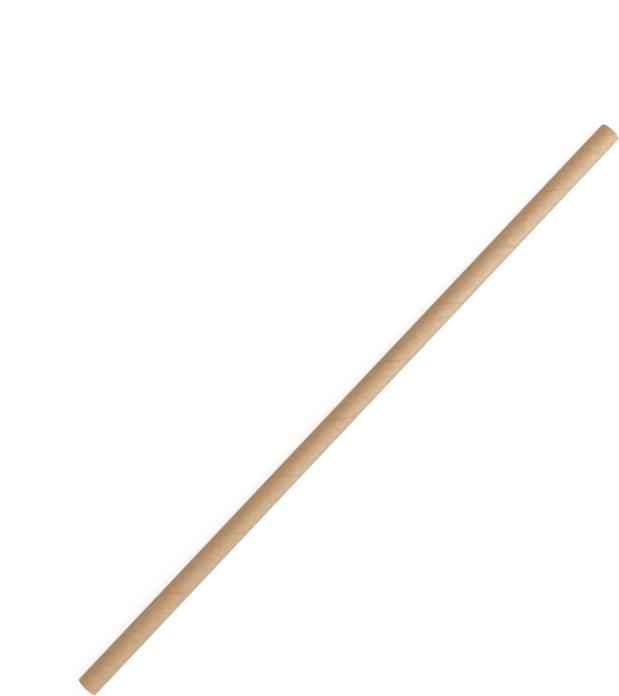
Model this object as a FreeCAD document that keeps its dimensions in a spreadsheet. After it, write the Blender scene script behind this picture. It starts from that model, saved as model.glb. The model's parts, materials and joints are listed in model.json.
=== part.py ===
import FreeCAD, Part
import os
import Sketcher

# Spiral-wound paper drinking straw, lying on a table, in millimetres.
#
# Narrow strips of kraft paper are wound in glue round a steel pin, each strip beside its own last turn,
# and the tube that comes off the pin is cut square to length. The glued strips are one stiff wall. What
# still shows of them is the helical seam that the outer strip leaves between its edges, open down to the
# strip below, and the seam of the innermost strip inside the bore, which the winder sets part of a turn
# behind so that no two seams lie over each other.
#
# Frame: the straw lies along X, with +Z up. The origin is on the table, below the middle of the straw.
# Both seams are right-handed: they turn from +Y over the top to -Y as they run towards +X.

FOLDER = "parts"

# Alias, value and meaning of each driving size.
SIZES = (
    ("length", 200.0, "end to end"),
    ("outside_diameter", 6.0, "over the outer strip"),
    ("plies", 3, "strips wound on each other, the outer one counted"),
    ("outer_ply", 0.10, "thickness of the outer strip"),
    ("core_ply", 0.14, "thickness of each strip below the outer one"),
    ("winding_pitch", 20.62, "advance of every strip in one turn"),
    ("seam_gap", 0.15, "opening between the edges of a strip at its face, along the straw"),
    ("seam_floor", 0.09, "the same opening at the strip's back, where the crushed edges come closer"),
    ("seam_start", 12.67, "from the -X end to the outer seam, along the top of the straw"),
    ("inner_seam_lag", 15.05, "from the outer seam to the bore's seam, along the straw"),
    ("cutter_overrun", 0.20, "reach of a seam cutter past the paper it cuts, towards open air"),
)

# Whole turns that a seam cutter starts before the -X end, and ends past the +X end, so that both cut
# ends show the open seam.
LEAD_TURNS = 2

# Expressions that more than one feature uses.
OUTER_RADIUS = "Sizes.outside_diameter / 2"
AXIS_HEIGHT = OUTER_RADIUS
BORE_RADIUS = f"{OUTER_RADIUS} - Sizes.outer_ply - (Sizes.plies - 1) * Sizes.core_ply"

# Name, lag behind the outer seam, thickness of the strip, and the radius of the cutter's floor and of
# its open side, for each seam that shows.
SEAMS = (
    (
        "OuterSeam",
        "0",
        "Sizes.outer_ply",
        f"{OUTER_RADIUS} - Sizes.outer_ply",
        f"{OUTER_RADIUS} + Sizes.cutter_overrun",
    ),
    (
        "InnerSeam",
        "Sizes.inner_seam_lag",
        "Sizes.core_ply",
        f"{BORE_RADIUS} + Sizes.core_ply",
        f"{BORE_RADIUS} - Sizes.cutter_overrun",
    ),
)


def make_sheet(doc):
    """Return the spreadsheet that holds the driving sizes."""
    sheet = doc.addObject("Spreadsheet::Sheet", "Sizes")
    for row, (alias, value, meaning) in enumerate(SIZES, start=1):
        sheet.set(f"A{row}", alias)
        sheet.set(f"B{row}", str(value))
        sheet.set(f"C{row}", meaning)
        sheet.setAlias(f"B{row}", alias)
    doc.recompute()
    return sheet


def origin_plane(body, role):
    """Return one of the body's own origin planes, by its role."""
    return next(feature for feature in body.Origin.OriginFeatures if feature.Role == role)


def sketch_on_axis(body, name, role):
    """Return a sketch on an origin plane, with its own origin raised to the straw's axis."""
    sketch = body.newObject("Sketcher::SketchObject", name)
    sketch.AttachmentSupport = [(origin_plane(body, role), "")]
    sketch.MapMode = "FlatFace"
    sketch.setExpression("AttachmentOffset.Base.y", AXIS_HEIGHT)
    return sketch


def bind(sketch, name, expression, *constraint):
    """Add a named dimension to a sketch, drawn at its expression's value and bound to it."""
    value = float(sketch.evalExpression(expression))
    index = sketch.addConstraint(Sketcher.Constraint(*constraint, value))
    sketch.renameConstraint(index, name)
    sketch.setExpression(f"Constraints.{name}", expression)


def add_wall(body):
    """Pad the ring of paper, outer radius to bore, to the straw's length."""
    section = sketch_on_axis(body, "WallSection", "YZ_Plane")
    centre = FreeCAD.Vector(0, 0, 0)
    for name, expression in (("outer_radius", OUTER_RADIUS), ("bore_radius", BORE_RADIUS)):
        radius = float(section.evalExpression(expression))
        circle = section.addGeometry(Part.Circle(centre, FreeCAD.Vector(0, 0, 1), radius))
        section.addConstraint(Sketcher.Constraint("Coincident", circle, 3, -1, 1))
        bind(section, name, expression, "Radius", circle)
    wall = body.newObject("PartDesign::Pad", "Wall")
    wall.Profile = section
    wall.Midplane = True
    wall.setExpression("Length", "Sizes.length")
    return wall


def add_seam(body, name, lag, ply, floor_radius, open_radius):
    """Cut one helical seam through the whole length of the wall.

    The cutter's section lies in the upright plane through the axis, above it, and is swept along a
    right-handed helix. It is wider at the face of the strip than at its back. Its faces aren't
    refined, because joined they run on for ten turns and no later cut can be made through them.
    """
    lead = f"{LEAD_TURNS} * Sizes.winding_pitch - mod(Sizes.seam_start + {lag}; Sizes.winding_pitch)"
    centre = f"Sizes.length / 2 + {lead}"
    spread = f"(Sizes.seam_gap - Sizes.seam_floor) * Sizes.cutter_overrun / {ply}"
    levels = (
        ("floor", "Sizes.seam_floor", floor_radius),
        ("open", f"Sizes.seam_gap + {spread}", open_radius),
    )
    section = sketch_on_axis(body, f"{name}Section", "XZ_Plane")
    corners = []
    for _, width, radius in levels:
        left = -float(section.evalExpression(f"{centre} + ({width}) / 2"))
        right = -float(section.evalExpression(f"{centre} - ({width}) / 2"))
        height = float(section.evalExpression(radius))
        corners += [FreeCAD.Vector(left, height, 0), FreeCAD.Vector(right, height, 0)]
    floor_left, floor_right, open_left, open_right = corners
    outline = [floor_left, floor_right, open_right, open_left]
    sides = [
        section.addGeometry(Part.LineSegment(outline[i], outline[(i + 1) % 4])) for i in range(4)
    ]
    for i in range(4):
        section.addConstraint(Sketcher.Constraint("Coincident", sides[i], 2, sides[(i + 1) % 4], 1))
    ends = ((sides[0], 1, 2), (sides[2], 2, 1))
    for (level, width, radius), (line, left_end, right_end) in zip(levels, ends):
        section.addConstraint(Sketcher.Constraint("Horizontal", line))
        bind(section, f"{level}_width", width, "DistanceX", line, left_end, line, right_end)
        bind(section, f"{level}_start", f"{centre} + ({width}) / 2", "DistanceX", line, left_end, -1, 1)
        bind(section, f"{level}_radius", radius, "DistanceY", -1, 1, line, 1)
    seam = body.newObject("PartDesign::SubtractiveHelix", name)
    seam.Profile = section
    seam.ReferenceAxis = (section, ["H_Axis"])
    seam.Mode = "pitch-height-angle"
    seam.LeftHanded = False
    seam.Refine = False
    seam.setExpression("Pitch", "Sizes.winding_pitch")
    seam.setExpression("Height", f"Sizes.length + {2 * LEAD_TURNS} * Sizes.winding_pitch")
    return seam


def check(doc, body, features):
    """Stop with a message if a feature failed, or if a cut took no paper away."""
    for feature in doc.Objects:
        if "Invalid" in feature.State or "Error" in feature.State:
            raise RuntimeError(f"{feature.Name} failed: {feature.State}")
    if body.Shape.isNull() or not body.Shape.isValid() or len(body.Shape.Solids) != 1:
        raise RuntimeError(f"{body.Label} is not one valid solid")
    for before, after in zip(features, features[1:]):
        if after.Shape.Volume >= before.Shape.Volume:
            raise RuntimeError(f"{after.Name} cut nothing from {before.Name}")


def main():
    """Build the straw and write it as a STEP file."""
    doc = FreeCAD.newDocument("PaperStraw")
    make_sheet(doc)
    body = doc.addObject("PartDesign::Body", "Straw")
    body.Label = "straw_tube"
    features = [add_wall(body)] + [add_seam(body, *seam) for seam in SEAMS]
    body.Tip = features[-1]
    doc.recompute()
    check(doc, body, features)
    os.makedirs(FOLDER, exist_ok=True)
    body.Shape.exportStep(os.path.join(FOLDER, f"{body.Label}.step"))
    print(f"{body.Label}: {body.Shape.Volume:.2f} mm3, {len(body.Shape.Faces)} faces")


main()
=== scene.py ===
"""The looks of a spiral-wound kraft paper drinking straw.

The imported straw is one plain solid. Here its wall is wound again as a fine closed mesh, with the strip
edges, the hidden seams that press through the outer strip and the plies of the cut ends, and dressed in
kraft paper whose fibres run along the strip. Everything is in metres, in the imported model's own frame:
the straw lies along X on the table at Z = 0, and its seams turn from +Y over the top to -Y towards +X.
"""

from __future__ import annotations

import json
import logging
import math
import sys
from dataclasses import dataclass
from enum import IntEnum
from typing import Any, Iterable, Mapping, Union

import bpy
import numpy as np
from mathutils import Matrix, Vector


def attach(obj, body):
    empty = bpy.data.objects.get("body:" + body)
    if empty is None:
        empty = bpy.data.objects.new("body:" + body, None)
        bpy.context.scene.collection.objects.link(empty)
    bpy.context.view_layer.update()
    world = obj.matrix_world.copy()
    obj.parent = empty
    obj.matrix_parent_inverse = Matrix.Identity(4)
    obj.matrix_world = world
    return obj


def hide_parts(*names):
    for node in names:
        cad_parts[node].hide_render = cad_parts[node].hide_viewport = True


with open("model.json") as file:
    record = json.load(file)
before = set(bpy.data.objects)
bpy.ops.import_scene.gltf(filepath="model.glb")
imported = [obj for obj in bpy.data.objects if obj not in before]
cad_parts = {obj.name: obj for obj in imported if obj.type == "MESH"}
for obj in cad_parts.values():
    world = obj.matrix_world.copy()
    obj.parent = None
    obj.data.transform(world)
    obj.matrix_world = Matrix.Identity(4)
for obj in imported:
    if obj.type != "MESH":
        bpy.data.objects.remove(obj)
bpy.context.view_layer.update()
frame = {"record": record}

LOG = logging.getLogger("straw")
MM = 0.001
TURN = 2 * math.pi
TOP = 0.25  # share of a turn from +Y, where the turns start, to the top of the straw
BODY = "root"
SOLID = "straw_tube"

Colour = tuple[float, float, float]
Span = tuple[float, float]
Scalar = Union["Field", float]


class Face(IntEnum):
    """The three kinds of surface that the wall shows."""

    OUTSIDE = 0
    BORE = 1
    CUT = 2


# ---------------------------------------------------------------- node trees as arithmetic


@dataclass(frozen=True, eq=False)
class Field:
    """A number that flows through a node tree and is combined by ordinary arithmetic."""

    graph: "Graph"
    socket: bpy.types.NodeSocket

    def __add__(self, other: Scalar) -> "Field":
        """Return the sum."""
        return self.graph.math("ADD", self, other)

    def __sub__(self, other: Scalar) -> "Field":
        """Return the difference."""
        return self.graph.math("SUBTRACT", self, other)

    def __rsub__(self, other: float) -> "Field":
        """Return a plain number less this one."""
        return self.graph.math("SUBTRACT", other, self)

    def __mul__(self, other: Scalar) -> "Field":
        """Return the product."""
        return self.graph.math("MULTIPLY", self, other)

    def __truediv__(self, other: Scalar) -> "Field":
        """Return the quotient."""
        return self.graph.math("DIVIDE", self, other)

    __radd__ = __add__
    __rmul__ = __mul__


class Graph:
    """Adds nodes to one tree and wires them."""

    def __init__(self, tree: bpy.types.NodeTree) -> None:
        """Start from an empty tree.

        Args:
            tree: a shader or geometry tree, whose own nodes are removed.
        """
        self.tree = tree
        tree.nodes.clear()

    def add(self, kind: str, inputs: Mapping[Any, Any] | None = None, **settings: Any) -> bpy.types.Node:
        """Add one node.

        Args:
            kind: the node's type name.
            inputs: what each input socket, by name or number, is fed.
            settings: the node's own properties.

        Returns:
            The node.
        """
        node = self.tree.nodes.new(kind)
        node.location = (180 * (len(self.tree.nodes) % 24), -220 * (len(self.tree.nodes) // 24))
        for name, value in settings.items():
            setattr(node, name, value)
        for key, value in (inputs or {}).items():
            self.feed(node.inputs[key], value)
        return node

    def feed(self, socket: bpy.types.NodeSocket, value: Any) -> None:
        """Link a field or a socket to an input, or set the input's own value."""
        if isinstance(value, Field):
            self.tree.links.new(value.socket, socket)
        elif isinstance(value, bpy.types.NodeSocket):
            self.tree.links.new(value, socket)
        else:
            socket.default_value = value

    def math(self, operation: str, *terms: Scalar) -> Field:
        """Return one Math node's result."""
        node = self.add("ShaderNodeMath", dict(enumerate(terms)), operation=operation)
        return Field(self, node.outputs[0])

    def split(self, vector: bpy.types.NodeSocket) -> tuple[Field, Field, Field]:
        """Return the three parts of a vector."""
        x, y, z = self.add("ShaderNodeSeparateXYZ", {0: vector}).outputs
        return Field(self, x), Field(self, y), Field(self, z)

    def vector(self, x: Scalar, y: Scalar, z: Scalar) -> bpy.types.NodeSocket:
        """Return the vector of three numbers."""
        return self.add("ShaderNodeCombineXYZ", {0: x, 1: y, 2: z}).outputs[0]

    def clamp(self, value: Scalar, low: Scalar, high: Scalar) -> Field:
        """Return a number held between two others."""
        return self.math("MINIMUM", self.math("MAXIMUM", value, low), high)

    def ramp(
        self, value: Scalar, start: Scalar, end: Scalar, low: Scalar = 0.0, high: Scalar = 1.0
    ) -> Field:
        """Return low up to start, high from end on, and a straight rise between them."""
        inputs = {"Value": value, "From Min": start, "From Max": end, "To Min": low, "To Max": high}
        return Field(self, self.add("ShaderNodeMapRange", inputs, clamp=True).outputs[0])

    def mix(self, share: Scalar, first: Any, second: Any) -> bpy.types.NodeSocket:
        """Return a colour, by its share of the second of two colours."""
        ends = [(*end, 1.0) if isinstance(end, tuple) else end for end in (first, second)]
        inputs = {0: share, 6: ends[0], 7: ends[1]}
        return self.add("ShaderNodeMix", inputs, data_type="RGBA").outputs[2]

    def bell(self, distance: Scalar, reach: Scalar) -> Field:
        """Return 1 at no distance, fading on both sides within about twice the reach."""
        ratio = self.math("DIVIDE", distance, reach)
        return self.math("EXPONENT", ratio * ratio * -1.0)

    def ring(self, turn: Field) -> tuple[Field, Field]:
        """Return the cosine and the sine of an angle given in turns."""
        angle = self.math("FRACT", turn) * TURN
        return self.math("COSINE", angle), self.math("SINE", angle)

    def noise(
        self, x: Scalar, y: Scalar, z: Scalar, detail: float = 2.0, rough: float = 0.5
    ) -> Field:
        """Return smooth noise, from -1 to 1 about 0, that changes about once in each unit."""
        inputs = {"Vector": self.vector(x, y, z), "Scale": 1.0, "Detail": detail, "Roughness": rough}
        return Field(self, self.add("ShaderNodeTexNoise", inputs).outputs[0]) * 2.0 - 1.0

    def stepped(self, row: Scalar, spans: Iterable[tuple[Scalar, Scalar]]) -> Field:
        """Return how far a row has come along spans of equal rows.

        Args:
            row: the number of the row.
            spans: how many rows each span has, and how far each of them goes.

        Returns:
            The distance from row 0.
        """
        total: Scalar = 0.0
        first: Scalar = 0.0
        for count, width in spans:
            inside = self.clamp(self.math("SUBTRACT", row, first), 0.0, count)
            total = self.math("ADD", total, inside * width)
            first = first + count
        return total


def add_object(name: str, data: bpy.types.ID) -> bpy.types.Object:
    """Return a new object that holds the data, linked into the scene."""
    thing = bpy.data.objects.new(name, data)
    bpy.context.scene.collection.objects.link(thing)
    return thing


def add_material(name: str) -> tuple[bpy.types.Material, Graph]:
    """Return a new material and its empty tree."""
    material = bpy.data.materials.new(name)
    material.use_nodes = True
    return material, Graph(material.node_tree)


# ---------------------------------------------------------------- the winding


@dataclass(frozen=True)
class Winding:
    """How the strips lie: the mesh and the grain of the paper both follow it."""

    length: float
    outer_radius: float
    bore_radius: float
    axis_height: float
    pitch: float = 20.62 * MM
    seam_gap: float = 0.13 * MM
    outer_seam: float = 12.67 * MM
    inner_seam_lag: float = 15.05 * MM
    outer_ply: float = 0.10 * MM
    core_ply: float = 0.14 * MM
    hidden_seams: tuple[float, float] = (0.40, 0.73)

    @classmethod
    def from_record(cls, record: Mapping[str, Any]) -> "Winding":
        """Read the straw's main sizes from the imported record.

        Args:
            record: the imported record, whose mounts give the bore and the outside.

        Returns:
            The winding of a straw of that size.
        """
        mounts = {mount["name"]: mount for mount in record["mounts"]}
        bore, outside = mounts["bore"], mounts["outside"]
        return cls(
            length=outside["dims"]["length_mm"] * MM,
            outer_radius=outside["dims"]["r_mm"] * MM,
            bore_radius=bore["dims"]["r_mm"] * MM,
            axis_height=bore["pos_m"][2],
        )

    @property
    def inner_seam(self) -> float:
        """Where the bore's seam first crosses the top, from the -X end."""
        return (self.outer_seam + self.inner_seam_lag) % self.pitch

    def seam(self, face: Face) -> float:
        """Where the seam of the outside or of the bore first crosses the top, from the -X end."""
        return self.inner_seam if face is Face.BORE else self.outer_seam


# ---------------------------------------------------------------- finishes


@dataclass(frozen=True)
class Grain:
    """One size of mark in the sheet, as noise that is longer along the strip than across it."""

    along: float
    across: float
    layer: float
    detail: float = 2.0
    rough: float = 0.5

    def read(self, graph: Graph, along: Field, across: Field) -> Field:
        """Return the noise at a place on the strip, from -1 to 1 about 0."""
        return graph.noise(
            along / self.along, across / self.across, self.layer, self.detail, self.rough
        )


def dress(
    graph: Graph,
    colour: bpy.types.NodeSocket,
    shade: Field,
    height: Field,
    relief: float,
    finish: Mapping[str, Any],
) -> None:
    """End a paper's tree in its shader.

    Args:
        graph: the material's tree.
        colour: the colour of the sheet.
        shade: how light it is, about 1.
        height: how high it stands, about 0.
        relief: what one unit of height comes to.
        finish: the shader's remaining inputs.
    """
    tinted = graph.add("ShaderNodeVectorMath", {0: colour, "Scale": shade}, operation="SCALE")
    bump = graph.add("ShaderNodeBump", {"Strength": 1.0, "Distance": relief, "Height": height})
    shader = graph.add(
        "ShaderNodeBsdfPrincipled",
        {"Base Color": tinted.outputs[0], "Normal": bump.outputs[0], **finish},
    )
    graph.add("ShaderNodeOutputMaterial", {"Surface": shader.outputs[0]})


@dataclass(frozen=True)
class KraftPaper:
    """Unbleached kraft paper, wound so that its fibres run along the strip.

    Colours are linear. Each share is how far that mark goes lighter or darker than the sheet, each
    reach is how wide it is, and each span is where its noise starts and stops to show.
    """

    name: str
    face: Face
    olive: Colour = (0.510, 0.301, 0.105)
    rosy: Colour = (0.569, 0.284, 0.121)
    ash: Colour = (0.531, 0.322, 0.169)
    blush: Grain = Grain(2.2 * MM, 1.7 * MM, 7.3)
    blush_span: Span = (-0.36, 0.36)
    fade: Grain = Grain(1.9 * MM, 1.5 * MM, 17.9)
    fade_span: Span = (-0.26, 0.46)
    clouds: Grain = Grain(1.4 * MM, 1.1 * MM, 1.7, detail=3.0)
    cloud_share: float = 0.23
    cloud_height: float = 0.15
    streaks: Grain = Grain(7.0 * MM, 0.55 * MM, 3.1)
    streak_share: float = 0.045
    streak_height: float = 0.35
    fibres: Grain = Grain(1.1 * MM, 0.07 * MM, 5.9, detail=3.0, rough=0.6)
    fibre_share: float = 0.095
    fibre_height: float = 0.5
    flecks: Grain = Grain(0.8 * MM, 0.13 * MM, 11.2, detail=1.0)
    dark_span: Span = (0.42, 0.62)
    dark_share: float = 0.16
    pale_span: Span = (-0.48, -0.66)
    pale_share: float = 0.08
    # The seam gap is darkened for glue colour and for painted shade in its recess.
    gap_glue_and_shade_share: float = 0.10
    seam_blur: float = 1.15
    # A darker band along the seam: dirt and painted shade.
    seam_dirt_and_shade_share: float = 0.03
    seam_dirt_and_shade_reach: float = 0.26 * MM
    hidden_shares: Span = (0.012, 0.020)
    hidden_reach: float = 0.45 * MM
    end_share: float = 0.14
    end_reach: float = 0.22 * MM
    roughness: float = 0.58
    polish: float = 0.10
    specular: float = 0.8
    fuzz: float = 0.25
    refraction: float = 1.6
    relief: float = 0.012 * MM

    def make(self, winding: Winding) -> bpy.types.Material:
        """Build the material.

        Args:
            winding: how the strip that it covers is wound.

        Returns:
            The material, which reads Object coordinates only.
        """
        material, graph = add_material(self.name)
        along, across, share, from_end = self._on_strip(graph, winding)
        shade, height = self._grain(graph, along, across)
        shade = shade * self._seams(graph, winding, share)
        shade = shade * (1.0 - graph.bell(from_end, self.end_reach) * self.end_share)
        blush = graph.ramp(self.blush.read(graph, along, across), *self.blush_span)
        colour = graph.mix(blush, self.olive, self.rosy)
        fade = graph.ramp(self.fade.read(graph, along, across), *self.fade_span)
        colour = graph.mix(fade, colour, self.ash)
        finish = {
            "Roughness": height * -self.polish + self.roughness,
            "Specular IOR Level": self.specular,
            "Sheen Weight": self.fuzz,
            "IOR": self.refraction,
        }
        dress(graph, colour, shade, height, self.relief, finish)
        return material

    def _on_strip(self, graph: Graph, winding: Winding) -> tuple[Field, Field, Field, Field]:
        """Find where a point lies on the unrolled strip.

        Returns:
            How far along the strip, how far across it, the share of its width passed, and how far
            from the nearer cut end.
        """
        radius = winding.bore_radius if self.face is Face.BORE else winding.outer_radius
        around = TURN * radius
        strip_turn = math.hypot(around, winding.pitch)
        x, y, z = graph.split(graph.add("ShaderNodeTexCoord").outputs["Object"])
        angle = graph.math("ARCTAN2", z - winding.axis_height, y) / TURN
        start = TOP + (winding.length / 2 - winding.seam(self.face)) / winding.pitch
        phase = x / winding.pitch + start - angle
        lap = graph.math("FLOOR", phase)
        share = phase - lap
        along = (angle + lap) * (around * around / strip_turn) + x * (winding.pitch / strip_turn)
        from_end = winding.length / 2 - graph.math("ABSOLUTE", x)
        return along, share * (winding.pitch * around / strip_turn), share, from_end

    def _grain(self, graph: Graph, along: Field, across: Field) -> tuple[Field, Field]:
        """Mix clouds, streaks, fibres and flecks.

        Returns:
            How light the sheet is, about 1, and how high, about 0.
        """
        marks = (self.clouds, self.streaks, self.fibres, self.flecks)
        clouds, streaks, fibres, flecks = (mark.read(graph, along, across) for mark in marks)
        shade = clouds * self.cloud_share + streaks * self.streak_share + fibres * self.fibre_share
        shade = shade + graph.ramp(flecks, *self.pale_span) * self.pale_share
        shade = shade - graph.ramp(flecks, *self.dark_span) * self.dark_share + 1.0
        height = fibres * self.fibre_height + streaks * self.streak_height
        return shade, height + clouds * self.cloud_height

    def _seams(self, graph: Graph, winding: Winding, share: Field) -> Field:
        """Darken the seam gap (glue, painted shade), a band along it (dirt, painted shade) and the
        hidden seams.

        Returns:
            The factor on the sheet's lightness.
        """
        pitch = winding.pitch
        near = graph.math("MINIMUM", share, 1.0 - share) * pitch
        half_gap = winding.seam_gap / 2
        # Painted shade, with glue colour, on the floor of the gap between strip edges.
        gap = graph.ramp(near, half_gap, half_gap * self.seam_blur, 1.0, 0.0)
        # Painted shade, with dirt, in a band along the seam's edges.
        seam_dirt_and_shade = graph.bell(near, self.seam_dirt_and_shade_reach)
        factor = 1.0 - gap * self.gap_glue_and_shade_share - seam_dirt_and_shade * self.seam_dirt_and_shade_share
        if self.face is Face.OUTSIDE:
            for place, depth in zip(winding.hidden_seams, self.hidden_shares):
                mark = graph.bell((share - place) * pitch, self.hidden_reach)
                factor = factor - mark * depth
        return factor


@dataclass(frozen=True)
class CutPly:
    """The edge of the paper where the knife went through it: pale, with a glue line between plies.

    Each scale is how often the noise changes in a radian, and its size along a radius.
    """

    name: str = "kraft_cut_edge"
    pulp: Colour = (0.60, 0.40, 0.235)
    glue: Colour = (0.36, 0.215, 0.115)
    line: float = 0.016 * MM
    wander: float = 0.006 * MM
    wander_scale: Span = (3.0, 0.4 * MM)
    wander_layer: float = 2.0
    tuft_share: float = 0.12
    tuft_height: float = 0.5
    tuft_scale: Span = (40.0, 0.05 * MM)
    tuft_layer: float = 4.4
    tuft_detail: float = 3.0
    tuft_rough: float = 0.65
    roughness: float = 0.85
    polish: float = 0.05
    specular: float = 0.3
    relief: float = 0.02 * MM

    def make(self, winding: Winding) -> bpy.types.Material:
        """Build the material.

        Args:
            winding: gives the radii between the plies.

        Returns:
            The material, which reads Object coordinates only.
        """
        material, graph = add_material(self.name)
        _, y, z = graph.split(graph.add("ShaderNodeTexCoord").outputs["Object"])
        up = z - winding.axis_height
        radius = graph.math("SQRT", y * y + up * up)
        angle = graph.math("ARCTAN2", up, y)
        often, deep = self.wander_scale
        wander = graph.noise(angle * often, radius / deep, self.wander_layer) * self.wander
        glue: Scalar = 0.0
        between = winding.outer_radius - winding.outer_ply
        while between > winding.bore_radius + self.line:
            glue = graph.math("MAXIMUM", glue, graph.bell(radius + wander - between, self.line))
            between -= winding.core_ply
        often, deep = self.tuft_scale
        tufts = graph.noise(
            angle * often, radius / deep, self.tuft_layer, self.tuft_detail, self.tuft_rough
        )
        finish = {
            "Roughness": tufts * self.polish + self.roughness,
            "Specular IOR Level": self.specular,
        }
        colour = graph.mix(glue, self.pulp, self.glue)
        shade = tufts * self.tuft_share + 1.0
        dress(graph, colour, shade, tufts * self.tuft_height - glue, self.relief, finish)
        return material


# ---------------------------------------------------------------- the wound wall


class Sizes:
    """The named inputs of the wall's node tree, as fields."""

    def __init__(self, graph: Graph, values: Mapping[str, Any]) -> None:
        """Declare one input for each value.

        Args:
            graph: the tree that gets them.
            values: each input's name with its first value: a float, a whole number or a material.
        """
        self._graph = graph
        for name, value in values.items():
            kind = "Float"
            if isinstance(value, bpy.types.Material):
                kind = "Material"
            elif isinstance(value, int):
                kind = "Int"
            graph.tree.interface.new_socket(name, in_out="INPUT", socket_type=f"NodeSocket{kind}")
        self._node = graph.add("NodeGroupInput")

    def __getitem__(self, name: str) -> Field:
        """Return one input as a field."""
        return Field(self._graph, self._node.outputs[name])


@dataclass
class WoundWall:
    """The glued strips as one closed mesh, wound, merged and cut by one node tree.

    Noise that runs round the straw is read on a ring, so that it meets itself.
    """

    winding: Winding
    name: str = "wound_wall"
    columns: int = 120
    outside_rows: int = 45
    bore_rows: int = 21
    edge_lift: float = 0.022 * MM
    edge_reach: float = 0.16 * MM
    trailing_share: float = 0.5
    hidden_dip: float = 0.012 * MM
    hidden_reach: float = 0.55 * MM
    waviness: float = 0.012 * MM
    wave_length: float = 14.0 * MM
    wave_ring: float = 0.6
    rim_length: float = 0.11 * MM
    rim_depth: float = 0.045 * MM
    end_press: float = 0.030 * MM
    press_reach: float = 0.35 * MM
    ply_groove: float = 0.022 * MM
    fray: float = 0.012 * MM
    fray_ring: float = 14.0
    fray_step: float = 1.7
    fray_side: float = 8.0
    wall_slope: float = 0.030 * MM
    slope_share: float = 0.9
    seam_fill: float = 0.045 * MM
    weld: float = 0.0015 * MM
    crease: float = 38.0
    seed: int = 5
    seed_step: float = 3.7

    def build(self, finishes: Mapping[Face, bpy.types.Material]) -> bpy.types.Object:
        """Wind the wall and hand it to the frame.

        Args:
            finishes: the material of each kind of surface.

        Returns:
            The finished piece, a plain mesh.
        """
        values = self._values(finishes)
        tree = self._tree(values)
        host = add_object(f"{self.name}_host", bpy.data.meshes.new(f"{self.name}_host"))
        modifier = host.modifiers.new("wind", "NODES")
        modifier.node_group = tree
        for item in tree.interface.items_tree:
            if item.in_out == "INPUT":
                modifier[item.identifier] = values[item.name]
        evaluated = host.evaluated_get(bpy.context.evaluated_depsgraph_get())
        mesh = bpy.data.meshes.new_from_object(evaluated)
        mesh.name = self.name
        bpy.data.objects.remove(host)
        piece = add_object(self.name, mesh)
        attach(piece, BODY)
        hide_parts(SOLID)
        return piece

    def _values(self, finishes: Mapping[Face, bpy.types.Material]) -> dict[str, Any]:
        """Return the value of each of the tree's named inputs."""
        winding = self.winding
        return {
            "Length": winding.length,
            "Outer Radius": winding.outer_radius,
            "Bore Radius": winding.bore_radius,
            "Axis Height": winding.axis_height,
            "Winding Pitch": winding.pitch,
            "Seam Gap": winding.seam_gap,
            "Outer Seam": winding.outer_seam,
            "Inner Seam": winding.inner_seam,
            "Outer Ply": winding.outer_ply,
            "Core Ply": winding.core_ply,
            "First Hidden Seam": winding.hidden_seams[0],
            "Second Hidden Seam": winding.hidden_seams[1],
            "Edge Lift": self.edge_lift,
            "Edge Reach": self.edge_reach,
            "Hidden Dip": self.hidden_dip,
            "Hidden Reach": self.hidden_reach,
            "Waviness": self.waviness,
            "Wave Length": self.wave_length,
            "Rim Length": self.rim_length,
            "Rim Depth": self.rim_depth,
            "End Press": self.end_press,
            "Press Reach": self.press_reach,
            "Ply Groove": self.ply_groove,
            "Fray": self.fray,
            "Wall Slope": self.wall_slope,
            "Seam Fill": self.seam_fill,
            "Weld": self.weld,
            "Columns": self.columns,
            "Outside Rows": self.outside_rows,
            "Bore Rows": self.bore_rows,
            "Seed": self.seed,
            "Outside Paper": finishes[Face.OUTSIDE],
            "Bore Paper": finishes[Face.BORE],
            "Cut Edge": finishes[Face.CUT],
        }

    def _tree(self, values: Mapping[str, Any]) -> bpy.types.NodeTree:
        """Build the tree that winds the wall.

        Args:
            values: the named inputs, with their values.

        Returns:
            The tree, which ends in Realize Instances and Set Material.
        """
        graph = Graph(bpy.data.node_groups.new(self.name, "GeometryNodeTree"))
        graph.tree.interface.new_socket("Wall", in_out="OUTPUT", socket_type="NodeSocketGeometry")
        size = Sizes(graph, values)
        join = graph.add("GeometryNodeJoinGeometry")
        surfaces = [self._strip(graph, size, face) for face in (Face.OUTSIDE, Face.BORE)]
        surfaces += [self._cut_end(graph, size, side) for side in (-1, 1)]
        for surface in surfaces:
            graph.feed(join.inputs[0], surface)
        shape = graph.add(
            "GeometryNodeMergeByDistance", {0: join.outputs[0], "Distance": size["Weld"]}
        )
        shape = graph.add("GeometryNodeSetShadeSmooth", {0: shape.outputs[0], "Shade Smooth": True})
        bend = graph.add("GeometryNodeInputMeshEdgeAngle").outputs[0]
        creased = graph.math("GREATER_THAN", Field(graph, bend), math.radians(self.crease))
        shape = graph.add(
            "GeometryNodeSetShadeSmooth",
            {0: shape.outputs[0], "Selection": creased, "Shade Smooth": False},
            domain="EDGE",
        )
        shape = graph.add("GeometryNodeRealizeInstances", {0: shape.outputs[0]})
        kind = graph.add("GeometryNodeInputNamedAttribute", {"Name": "face_kind"}, data_type="INT")
        for face, paper in zip(Face, ("Outside Paper", "Bore Paper", "Cut Edge")):
            chosen = graph.math("COMPARE", Field(graph, kind.outputs[0]), float(face), 0.5)
            inputs = {0: shape.outputs[0], "Selection": chosen, "Material": size[paper]}
            shape = graph.add("GeometryNodeSetMaterial", inputs)
        graph.add("NodeGroupOutput", {0: shape.outputs[0]})
        return graph.tree

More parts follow.
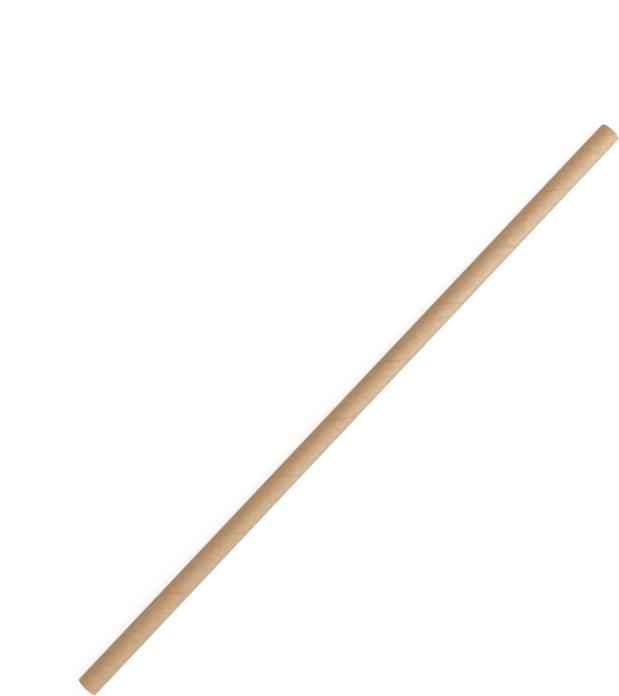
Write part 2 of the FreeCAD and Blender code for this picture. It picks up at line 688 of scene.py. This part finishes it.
    def _strip(self, graph: Graph, size: Sizes, face: Face) -> bpy.types.NodeSocket:
        """Wind one strip into the outside or the bore, and stop it at both cut ends.

        Rows that would pass a cut end are held at it, where the merge then joins them.

        Args:
            graph: the wall's tree.
            size: its inputs.
            face: which of the two.

        Returns:
            The strip's geometry.
        """
        pitch, columns = size["Winding Pitch"], size["Columns"]
        rows = size["Bore Rows"] if face is Face.BORE else size["Outside Rows"]
        lead = 2.0
        turns = graph.math("CEIL", size["Length"] / pitch) + (lead + 1.0)
        last = rows - 1.0
        grid, from_start, row = self._grid(graph, turns, turns * columns + 1.0, last, rows)
        turn = from_start - lead
        slope, gap, near = size["Wall Slope"], size["Seam Gap"], size["Edge Reach"]
        floor, wall, edge = (1.0, gap / 2.0 - slope), (1.0, slope * 2.0), (2.0, near)
        middle_rows = last - 2.0 * (floor[0] + wall[0] + edge[0])
        middle = (middle_rows, (pitch - gap - slope * 2.0 - near * 4.0) / middle_rows)
        across = graph.stepped(row, (floor, wall, edge, middle, edge, wall, floor))
        seam = size["Inner Seam"] if face is Face.BORE else size["Outer Seam"]
        end = size["Length"] / 2.0 - size["Rim Length"]
        x = (turn - TOP) * pitch + across + seam - size["Length"] / 2.0
        x = graph.clamp(x, end * -1.0, end)
        radius = self._radius(graph, size, face, x, turn)
        return self._place(graph, size, grid, x, radius, turn, face, face is Face.BORE)

    def _radius(self, graph: Graph, size: Sizes, face: Face, x: Field, turn: Field) -> Field:
        """Return the radius of the outside or the bore at a place along the straw and around it."""
        outside = face is Face.OUTSIDE
        pitch, half_gap, slope = size["Winding Pitch"], size["Seam Gap"] / 2.0, size["Wall Slope"]
        seam = size["Outer Seam"] if outside else size["Inner Seam"]
        phase = (x + size["Length"] / 2.0 - seam) / pitch + TOP - turn
        share = graph.math("FRACT", phase)
        before, after = share * pitch, (1.0 - share) * pitch
        near = graph.math("MINIMUM", before, after)
        blend = slope * self.slope_share
        closed = graph.ramp(near, half_gap - blend, half_gap + blend)
        reach = size["Edge Reach"] * 2.0
        lift = graph.bell(before, reach) + graph.bell(after, reach) * self.trailing_share
        relief = lift * size["Edge Lift"]
        if outside:
            for name in ("First Hidden Seam", "Second Hidden Seam"):
                dip = graph.bell((share - size[name]) * pitch, size["Hidden Reach"])
                relief = relief - dip * size["Hidden Dip"]
        cosine, sine = graph.ring(turn)
        waves = graph.noise(
            x / size["Wave Length"],
            cosine * self.wave_ring,
            sine * self.wave_ring + size["Seed"] * self.seed_step,
        )
        relief = (relief + waves * size["Waviness"]) * closed
        if outside:
            crest = size["Outer Radius"] - size["Edge Lift"] - size["Waviness"]
            from_end = size["Length"] / 2.0 - graph.math("ABSOLUTE", x)
            crest = crest - graph.bell(from_end, size["Press Reach"]) * size["End Press"]
            return crest + relief - (1.0 - closed) * (size["Outer Ply"] - size["Seam Fill"])
        gap_depth = (1.0 - closed) * (size["Core Ply"] - size["Seam Fill"])
        return size["Bore Radius"] - relief + gap_depth

    def _cut_end(self, graph: Graph, size: Sizes, side: int) -> bpy.types.NodeSocket:
        """Close one end between the outside and the bore, with a fine groove at each glue line.

        Args:
            graph: the wall's tree.
            size: its inputs.
            side: -1 or 1, the end's sign along X.

        Returns:
            The end's geometry.
        """
        length, deep, groove = size["Rim Length"], size["Rim Depth"], size["Ply Groove"]
        outer, core = size["Outer Ply"], size["Core Ply"]
        arc = [(math.cos(math.radians(a)), math.sin(math.radians(a))) for a in (0, 30, 60, 90)]
        # From the outside inwards: the rounded edge, each glue line's groove, and a last row well
        # past the bore, where it is held. Each list has one step for each row.
        depths = [deep * (before[0] - after[0]) for before, after in zip(arc, arc[1:])]
        bevels = [length * (before[1] - after[1]) for before, after in zip(arc, arc[1:])]
        grooves = [0.0] * len(depths) + [0.0, groove, groove * -1.0] * 2 + [0.0, 0.0]
        depths += [outer - deep * 2.0 - groove, groove, groove]
        depths += [core - groove * 2.0, groove, groove, core - groove - deep, deep * 4.0]
        bevels += [0.0] * 7 + [length]
        along, inwards, roughs = (
            [(1.0, step) for step in steps] for steps in (bevels, depths, grooves)
        )
        last, columns = float(len(depths)), size["Columns"] + 1.0
        grid, turn, row = self._grid(graph, 1.0, columns, last, len(depths) + 1)
        rim_x = (size["Length"] / 2.0 - length) * float(side)
        outside = self._radius(graph, size, Face.OUTSIDE, rim_x, turn)
        bore = self._radius(graph, size, Face.BORE, rim_x, turn)
        whole = size["Outer Radius"] - graph.stepped(row, inwards)
        radius = graph.clamp(whole, bore, outside)
        # A row that is held at the outside or the bore keeps to its edge, without groove or fray.
        in_paper = graph.ramp(outside - whole, 0.0, size["Weld"])
        in_paper = in_paper * graph.ramp(whole - bore, 0.0, size["Weld"])
        cosine, sine = (part * self.fray_ring for part in graph.ring(turn))
        place = row * self.fray_step + float(side) * self.fray_side + size["Seed"]
        tufts = graph.noise(cosine, sine, place)
        rough = graph.stepped(row, roughs) + (tufts + 1.0) * size["Fray"] * 0.5
        recess = graph.stepped(row, along) + length + rough * in_paper
        x = (size["Length"] / 2.0 - recess) * float(side)
        return self._place(graph, size, grid, x, radius, turn, Face.CUT, side < 0)

    def _grid(
        self, graph: Graph, turns: Scalar, columns: Scalar, last: Scalar, rows: Scalar
    ) -> tuple[bpy.types.NodeSocket, Field, Field]:
        """Lay out a flat grid, with turns along it and rows across.

        Args:
            graph: the wall's tree.
            turns: how many turns it goes round.
            columns: its points along.
            last: the number of its last row, counted from 0.
            rows: its points across.

        Returns:
            The grid, and at each point the turns since its start and the number of the row.
        """
        grid = graph.add(
            "GeometryNodeMeshGrid",
            {"Size X": turns, "Size Y": last, "Vertices X": columns, "Vertices Y": rows},
        )
        x, y, _ = graph.split(graph.add("GeometryNodeInputPosition").outputs[0])
        return grid.outputs[0], x + turns / 2.0, graph.math("ROUND", y + last / 2.0)

    def _place(
        self,
        graph: Graph,
        size: Sizes,
        grid: bpy.types.NodeSocket,
        x: Field,
        radius: Field,
        turn: Field,
        face: Face,
        flipped: bool,
    ) -> bpy.types.NodeSocket:
        """Move a grid's points to their places round the axis and mark its faces.

        Args:
            graph: the wall's tree.
            size: its inputs.
            grid: the flat grid.
            x: each point's place along the straw.
            radius: its distance from the axis.
            turn: how far round it lies.
            face: the kind of surface.
            flipped: whether the faces have to be turned to look outwards.

        Returns:
            The surface.
        """
        cosine, sine = graph.ring(turn)
        position = graph.vector(x, cosine * radius, sine * radius + size["Axis Height"])
        moved = graph.add("GeometryNodeSetPosition", {0: grid, "Position": position})
        marked = graph.add(
            "GeometryNodeStoreNamedAttribute",
            {0: moved.outputs[0], "Name": "face_kind", "Value": int(face)},
            data_type="INT",
            domain="FACE",
        ).outputs[0]
        return graph.add("GeometryNodeFlipFaces", {0: marked}).outputs[0] if flipped else marked


# ---------------------------------------------------------------- studio


@dataclass(frozen=True)
class SoftBox:
    """A card of light, aimed at the middle of the straw and left out of the camera's sight."""

    name: str
    power: float
    width: float
    height: float
    place: tuple[float, float, float]
    colour: Colour

    def hang(self) -> None:
        """Put the lamp at its place."""
        light = bpy.data.lights.new(self.name, "AREA")
        light.energy = self.power
        light.color = self.colour
        light.shape = "RECTANGLE"
        light.size = self.width
        light.size_y = self.height
        lamp = add_object(self.name, light)
        lamp.location = self.place
        lamp.rotation_euler = Vector(self.place).to_track_quat("Z", "Y").to_euler()
        lamp.visible_camera = False


@dataclass(frozen=True)
class Studio:
    """A pale table under soft light, white to the camera all the way round.

    The floor's own glow is a little below white near the straw, up to the shadow's reach, and comes
    up to white by three times that.
    """

    floor_size: float = 3.0
    floor_albedo: float = 0.35
    floor_glow: float = 0.76
    shadow_reach: float = 0.16
    ambient: float = 0.41
    lamps: tuple[SoftBox, ...] = (
        SoftBox("key", 2.88, 0.80, 0.80, (0.24, -0.13, 0.66), (1.0, 0.97, 0.93)),
        SoftBox("side_card", 1.50, 0.44, 0.14, (0.14, -0.39, 0.115), (0.57, 0.79, 1.0)),
    )

    def build(self) -> None:
        """Lay the floor, hang the lamps and light the world."""
        self._floor()
        for lamp in self.lamps:
            lamp.hang()
        self._world()

    def _seen(self, graph: Graph) -> Field:
        """Return 1 for a ray from the camera, off a gloss or through glass, else 0."""
        path = graph.add("ShaderNodeLightPath").outputs
        kinds = ("Camera", "Glossy", "Transmission")
        camera, glossy, through = (Field(graph, path[f"Is {kind} Ray"]) for kind in kinds)
        return graph.clamp(camera + glossy + through, 0.0, 1.0)

    def _floor(self) -> None:
        """Lay a matt floor that keeps the straw's shadow, faint, and is plain white further out."""
        half = self.floor_size / 2
        mesh = bpy.data.meshes.new("floor")
        corners = [(-half, -half, 0), (half, -half, 0), (half, half, 0), (-half, half, 0)]
        mesh.from_pydata(corners, [], [(0, 1, 2, 3)])
        floor = add_object("floor", mesh)
        material, graph = add_material("pale_table")
        matt = graph.add("ShaderNodeBsdfDiffuse", {"Color": (*[self.floor_albedo] * 3, 1.0)})
        x, y, _ = graph.split(graph.add("ShaderNodeTexCoord").outputs["Object"])
        away = graph.math("SQRT", x * x + y * y)
        near, far = self.shadow_reach, self.shadow_reach * 3.0
        level = graph.ramp(away, near, far, self.floor_glow, 1.0)
        glow = graph.add("ShaderNodeEmission", {"Strength": self._seen(graph) * level})
        both = graph.add("ShaderNodeAddShader", {0: matt.outputs[0], 1: glow.outputs[0]})
        graph.add("ShaderNodeOutputMaterial", {"Surface": both.outputs[0]})
        mesh.materials.append(material)

    def _world(self) -> None:
        """Light from all round, and white behind everything that is seen."""
        world = bpy.data.worlds.new("studio")
        world.use_nodes = True
        graph = Graph(world.node_tree)
        level = self._seen(graph) * (1.0 - self.ambient) + self.ambient
        white = (1.0, 1.0, 1.0, 1.0)
        light = graph.add("ShaderNodeBackground", {"Color": white, "Strength": level})
        graph.add("ShaderNodeOutputWorld", {"Surface": light.outputs[0]})
        bpy.context.scene.world = world
        bpy.context.scene.view_settings.view_transform = "Standard"


@dataclass(frozen=True)
class PhotoCamera:
    """The camera, solved from the straws' outlines: almost straight above, 0.38 m away."""

    location: tuple[float, float, float] = (-20.204 * MM, 6.416 * MM, 382.999 * MM)
    rotation: tuple[float, float, float] = (3.78567, -1.10258, -46.61935)
    lens: float = 75.051
    half_pixel: float = 0.5 / 696
    clip: Span = (0.01, 20.0)

    def build(self) -> None:
        """Place the camera and make it the scene's own."""
        data = bpy.data.cameras.new("camera")
        data.lens = self.lens
        data.shift_x = -self.half_pixel
        data.shift_y = self.half_pixel
        data.clip_start, data.clip_end = self.clip
        camera = add_object("camera", data)
        camera.location = self.location
        camera.rotation_euler = [math.radians(turn) for turn in self.rotation]
        bpy.context.scene.camera = camera


def report(piece: bpy.types.Object) -> None:
    """Log how large a finished piece is.

    Args:
        piece: a mesh object.
    """
    mesh = piece.data
    mesh.calc_loop_triangles()
    points = np.empty(len(mesh.vertices) * 3, np.float32)
    mesh.vertices.foreach_get("co", points)
    low, high = points.reshape(-1, 3).min(0), points.reshape(-1, 3).max(0)
    span = ", ".join(f"{a / MM:.3f} to {b / MM:.3f}" for a, b in zip(low, high))
    LOG.info("%s: %d triangles, %s mm", piece.name, len(mesh.loop_triangles), span)


def main() -> None:
    """Build the camera, the studio and the straw, and log the straw's size."""
    logging.basicConfig(level=logging.INFO, format="%(name)s %(message)s", stream=sys.stdout)
    PhotoCamera().build()
    Studio().build()
    winding = Winding.from_record(frame["record"])
    finishes = {
        Face.OUTSIDE: KraftPaper("kraft_outside", Face.OUTSIDE).make(winding),
        Face.BORE: KraftPaper("kraft_bore", Face.BORE, cloud_share=0.03).make(winding),
        Face.CUT: CutPly().make(winding),
    }
    report(WoundWall(winding).build(finishes))


if __name__ == "__main__":
    main()
